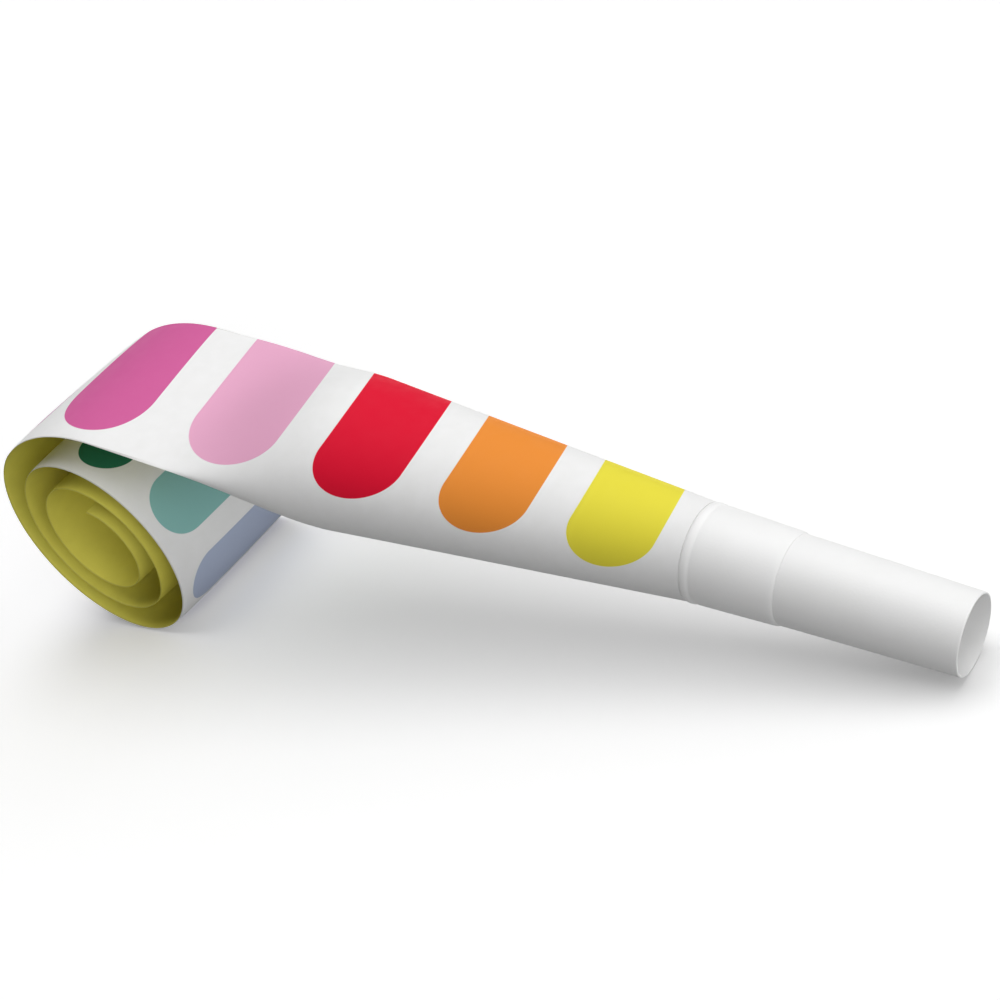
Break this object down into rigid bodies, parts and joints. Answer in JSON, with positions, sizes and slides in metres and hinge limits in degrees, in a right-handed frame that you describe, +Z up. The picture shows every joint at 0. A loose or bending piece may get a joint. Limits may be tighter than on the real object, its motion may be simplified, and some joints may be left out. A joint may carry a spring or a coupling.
{
  "type": "party horn blower",
  "caption": "Rolled party blower: white tapered mouthpiece and collar, reed inside, flat printed paper sleeve that unrolls when blown and curls back.",
  "frame": {"origin": "on the table, under the middle of the blower's box, as it lies on its roll and on the lip of its mouthpiece", "axes": "+X along the table towards the mouthpiece, +Y across the sleeve, +Z up"},
  "size_m": [0.1706, 0.032, 0.0427],
  "materials": {
    "white_plastic": "smooth satin",
    "printed_paper": "smooth printed paper, white outside and yellow inside",
    "reed_plastic": "moulded",
    "reed_film": "thin film",
    "recoil_film": "thin curled film"
  },
  "bodies": {
    "base": {"mouthpiece": "white_plastic", "joining_collar": "white_plastic", "reed_block": "reed_plastic", "reed_foot": "reed_film", "reed_wedge": "reed_plastic", "sleeve_throat": "printed_paper", "recoil_anchor": "recoil_film"},
    "reed": {"reed_tongue": "reed_film"},
    "roll_01": {"sleeve_segment_01": "printed_paper", "recoil_strip_01": "recoil_film"},
    "roll_02": {"sleeve_segment_02": "printed_paper", "recoil_strip_02": "recoil_film"},
    "roll_03": {"sleeve_segment_03": "printed_paper", "recoil_strip_03": "recoil_film"},
    "roll_04": {"sleeve_segment_04": "printed_paper", "recoil_strip_04": "recoil_film"},
    "roll_05": {"sleeve_segment_05": "printed_paper", "recoil_strip_05": "recoil_film"},
    "roll_06": {"sleeve_segment_06": "printed_paper", "recoil_strip_06": "recoil_film"},
    "roll_07": {"sleeve_segment_07": "printed_paper", "recoil_strip_07": "recoil_film"},
    "roll_08": {"sleeve_segment_08": "printed_paper", "recoil_strip_08": "recoil_film"},
    "roll_09": {"sleeve_segment_09": "printed_paper", "recoil_strip_09": "recoil_film"},
    "roll_10": {"sleeve_segment_10": "printed_paper", "recoil_strip_10": "recoil_film"},
    "roll_11": {"sleeve_segment_11": "printed_paper", "recoil_strip_11": "recoil_film"},
    "roll_12": {"sleeve_segment_12": "printed_paper", "recoil_strip_12": "recoil_film"},
    "roll_13": {"sleeve_segment_13": "printed_paper", "recoil_strip_13": "recoil_film"},
    "roll_14": {"sleeve_segment_14": "printed_paper", "recoil_strip_14": "recoil_film"},
    "roll_15": {"sleeve_segment_15": "printed_paper", "recoil_strip_15": "recoil_film"},
    "roll_16": {"sleeve_segment_16": "printed_paper", "recoil_strip_16": "recoil_film"},
    "roll_17": {"sleeve_segment_17": "printed_paper", "recoil_strip_17": "recoil_film"},
    "roll_18": {"sleeve_segment_18": "printed_paper", "recoil_strip_18": "recoil_film"},
    "roll_19": {"sleeve_segment_19": "printed_paper", "recoil_strip_19": "recoil_film"},
    "roll_20": {"sleeve_segment_20": "printed_paper", "recoil_strip_20": "recoil_film"},
    "roll_21": {"sleeve_segment_21": "printed_paper", "recoil_strip_21": "recoil_film"},
    "roll_22": {"sleeve_segment_22": "printed_paper", "recoil_strip_22": "recoil_film"},
    "roll_23": {"sleeve_segment_23": "printed_paper", "recoil_strip_23": "recoil_film"},
    "roll_24": {"sleeve_segment_24": "printed_paper", "recoil_strip_24": "recoil_film", "end_seal": "printed_paper"}
  },
  "joints": [
    {"name": "reed_buzz", "type": "hinge", "parent": "base", "child": "reed", "pos_m": [0.05858, 0, 0.01225], "axis": [0, 1, 0], "range_deg": [0, 5], "stiffness_Nm_per_rad": 0.0002, "springref_deg": -5.73},
    {"name": "unroll_01", "type": "hinge", "parent": "base", "child": "roll_01", "pos_m": [-0.0487, 0, 0.04147], "axis": [0, 1, 0], "range_deg": [0, 22.5], "stiffness_Nm_per_rad": 0.0003, "springref_deg": -57.3},
    {"name": "unroll_02", "type": "hinge", "parent": "roll_01", "child": "roll_02", "pos_m": [-0.0748, 0, 0.03807], "axis": [0, 1, 0], "range_deg": [0, 45], "stiffness_Nm_per_rad": 0.0003, "springref_deg": -57.3},
    {"name": "unroll_03", "type": "hinge", "parent": "roll_02", "child": "roll_03", "pos_m": [-0.08458, 0, 0.02537], "axis": [0, 1, 0], "range_deg": [0, 45], "stiffness_Nm_per_rad": 0.0003, "springref_deg": -57.3},
    {"name": "unroll_04", "type": "hinge", "parent": "roll_03", "child": "roll_04", "pos_m": [-0.08257, 0, 0.00991], "axis": [0, 1, 0], "range_deg": [0, 45], "stiffness_Nm_per_rad": 0.0003, "springref_deg": -57.3},
    {"name": "unroll_05", "type": "hinge", "parent": "roll_04", "child": "roll_05", "pos_m": [-0.07057, 0, 0.00067], "axis": [0, 1, 0], "range_deg": [0, 45], "stiffness_Nm_per_rad": 0.0003, "springref_deg": -57.3},
    {"name": "unroll_06", "type": "hinge", "parent": "roll_05", "child": "roll_06", "pos_m": [-0.05599, 0, 0.00257], "axis": [0, 1, 0], "range_deg": [0, 45], "stiffness_Nm_per_rad": 0.0003, "springref_deg": -57.3},
    {"name": "unroll_07", "type": "hinge", "parent": "roll_06", "child": "roll_07", "pos_m": [-0.04729, 0, 0.01387], "axis": [0, 1, 0], "range_deg": [0, 45], "stiffness_Nm_per_rad": 0.0003, "springref_deg": -57.3},
    {"name": "unroll_08", "type": "hinge", "parent": "roll_07", "child": "roll_08", "pos_m": [-0.04907, 0, 0.02757], "axis": [0, 1, 0], "range_deg": [0, 45], "stiffness_Nm_per_rad": 0.0003, "springref_deg": -57.3},
    {"name": "unroll_09", "type": "hinge", "parent": "roll_08", "child": "roll_09", "pos_m": [-0.05967, 0, 0.03572], "axis": [0, 1, 0], "range_deg": [0, 45], "stiffness_Nm_per_rad": 0.0003, "springref_deg": -57.3},
    {"name": "unroll_10", "type": "hinge", "parent": "roll_09", "child": "roll_10", "pos_m": [-0.07249, 0, 0.03406], "axis": [0, 1, 0], "range_deg": [0, 45], "stiffness_Nm_per_rad": 0.0003, "springref_deg": -57.3},
    {"name": "unroll_11", "type": "hinge", "parent": "roll_10", "child": "roll_11", "pos_m": [-0.08011, 0, 0.02416], "axis": [0, 1, 0], "range_deg": [0, 45], "stiffness_Nm_per_rad": 0.0003, "springref_deg": -57.3},
    {"name": "unroll_12", "type": "hinge", "parent": "roll_11", "child": "roll_12", "pos_m": [-0.07855, 0, 0.01222], "axis": [0, 1, 0], "range_deg": [0, 45], "stiffness_Nm_per_rad": 0.0003, "springref_deg": -57.3},
    {"name": "unroll_13", "type": "hinge", "parent": "roll_12", "child": "roll_13", "pos_m": [-0.06936, 0, 0.00515], "axis": [0, 1, 0], "range_deg": [0, 45], "stiffness_Nm_per_rad": 0.0003, "springref_deg": -57.3},
    {"name": "unroll_14", "type": "hinge", "parent": "roll_13", "child": "roll_14", "pos_m": [-0.0583, 0, 0.00658], "axis": [0, 1, 0], "range_deg": [0, 45], "stiffness_Nm_per_rad": 0.0003, "springref_deg": -57.3},
    {"name": "unroll_15", "type": "hinge", "parent": "roll_14", "child": "roll_15", "pos_m": [-0.05177, 0, 0.01507], "axis": [0, 1, 0], "range_deg": [0, 45], "stiffness_Nm_per_rad": 0.0003, "springref_deg": -57.3},
    {"name": "unroll_16", "type": "hinge", "parent": "roll_15", "child": "roll_16", "pos_m": [-0.05309, 0, 0.02526], "axis": [0, 1, 0], "range_deg": [0, 45], "stiffness_Nm_per_rad": 0.0003, "springref_deg": -57.3},
    {"name": "unroll_17", "type": "hinge", "parent": "roll_16", "child": "roll_17", "pos_m": [-0.06088, 0, 0.03125], "axis": [0, 1, 0], "range_deg": [0, 45], "stiffness_Nm_per_rad": 0.0003, "springref_deg": -57.3},
    {"name": "unroll_18", "type": "hinge", "parent": "roll_17", "child": "roll_18", "pos_m": [-0.07018, 0, 0.03004], "axis": [0, 1, 0], "range_deg": [0, 45], "stiffness_Nm_per_rad": 0.0003, "springref_deg": -57.3},
    {"name": "unroll_19", "type": "hinge", "parent": "roll_18", "child": "roll_19", "pos_m": [-0.07563, 0, 0.02296], "axis": [0, 1, 0], "range_deg": [0, 45], "stiffness_Nm_per_rad": 0.0003, "springref_deg": -57.3},
    {"name": "unroll_20", "type": "hinge", "parent": "roll_19", "child": "roll_20", "pos_m": [-0.07454, 0, 0.01453], "axis": [0, 1, 0], "range_deg": [0, 45], "stiffness_Nm_per_rad": 0.0003, "springref_deg": -57.3},
    {"name": "unroll_21", "type": "hinge", "parent": "roll_20", "child": "roll_21", "pos_m": [-0.06816, 0, 0.00962], "axis": [0, 1, 0], "range_deg": [0, 45], "stiffness_Nm_per_rad": 0.0003, "springref_deg": -57.3},
    {"name": "unroll_22", "type": "hinge", "parent": "roll_21", "child": "roll_22", "pos_m": [-0.06061, 0, 0.0106], "axis": [0, 1, 0], "range_deg": [0, 45], "stiffness_Nm_per_rad": 0.0003, "springref_deg": -57.3},
    {"name": "unroll_23", "type": "hinge", "parent": "roll_22", "child": "roll_23", "pos_m": [-0.05624, 0, 0.01628], "axis": [0, 1, 0], "range_deg": [0, 45], "stiffness_Nm_per_rad": 0.0003, "springref_deg": -57.3},
    {"name": "unroll_24", "type": "hinge", "parent": "roll_23", "child": "roll_24", "pos_m": [-0.05711, 0, 0.02294], "axis": [0, 1, 0], "range_deg": [0, 45], "stiffness_Nm_per_rad": 0.0003, "springref_deg": -57.3}
  ],
  "couplings": [
    {"joint": "unroll_02", "follows": "unroll_01", "ratio": 2},
    {"joint": "unroll_03", "follows": "unroll_01", "ratio": 2},
    {"joint": "unroll_04", "follows": "unroll_01", "ratio": 2},
    {"joint": "unroll_05", "follows": "unroll_01", "ratio": 2},
    {"joint": "unroll_06", "follows": "unroll_01", "ratio": 2},
    {"joint": "unroll_07", "follows": "unroll_01", "ratio": 2},
    {"joint": "unroll_08", "follows": "unroll_01", "ratio": 2},
    {"joint": "unroll_09", "follows": "unroll_01", "ratio": 2},
    {"joint": "unroll_10", "follows": "unroll_01", "ratio": 2},
    {"joint": "unroll_11", "follows": "unroll_01", "ratio": 2},
    {"joint": "unroll_12", "follows": "unroll_01", "ratio": 2},
    {"joint": "unroll_13", "follows": "unroll_01", "ratio": 2},
    {"joint": "unroll_14", "follows": "unroll_01", "ratio": 2},
    {"joint": "unroll_15", "follows": "unroll_01", "ratio": 2},
    {"joint": "unroll_16", "follows": "unroll_01", "ratio": 2},
    {"joint": "unroll_17", "follows": "unroll_01", "ratio": 2},
    {"joint": "unroll_18", "follows": "unroll_01", "ratio": 2},
    {"joint": "unroll_19", "follows": "unroll_01", "ratio": 2},
    {"joint": "unroll_20", "follows": "unroll_01", "ratio": 2},
    {"joint": "unroll_21", "follows": "unroll_01", "ratio": 2},
    {"joint": "unroll_22", "follows": "unroll_01", "ratio": 2},
    {"joint": "unroll_23", "follows": "unroll_01", "ratio": 2},
    {"joint": "unroll_24", "follows": "unroll_01", "ratio": 2}
  ]
}
